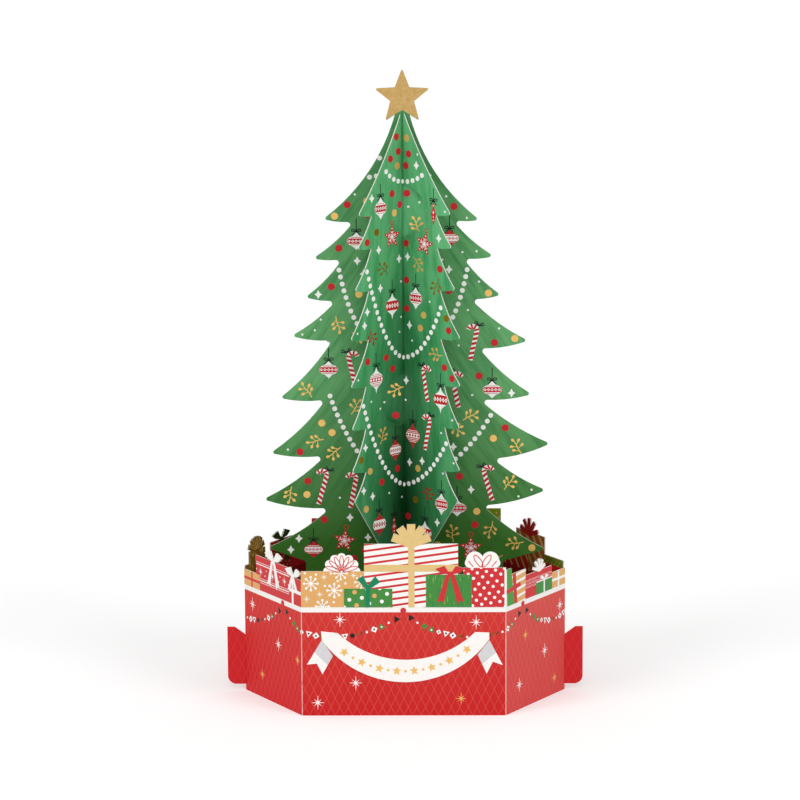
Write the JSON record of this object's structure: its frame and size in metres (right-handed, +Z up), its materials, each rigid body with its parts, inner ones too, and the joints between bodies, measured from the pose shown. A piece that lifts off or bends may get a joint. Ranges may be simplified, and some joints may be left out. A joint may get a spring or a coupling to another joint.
{
  "type": "pop-up christmas tree card",
  "caption": "Pop-up paper card: a fir tree of flat cut-out fins with a star stands in a folded ring of present-shaped walls, held open by side tabs.",
  "frame": {"origin": "middle of the base, on the surface the card stands on, below the fold at the tree's axis", "axes": "+Z up along the tree's axis, +X to the viewer's right along the centre sheet, +Y away from the viewer, from the front wall to the back wall"},
  "size_m": [0.125, 0.066, 0.2187],
  "materials": {
    "front_wall_card": "satin printed card",
    "back_wall_card": "satin printed card",
    "centre_sheet_card": "satin printed card",
    "front_fin_card": "satin printed card",
    "back_fin_card": "satin printed card"
  },
  "bodies": {
    "root": {"box_front": "front_wall_card", "box_back": "back_wall_card", "tree_centre_sheet": "centre_sheet_card", "tree_front_fins": "front_fin_card", "tree_back_fins": "back_fin_card"}
  },
  "joints": []
}
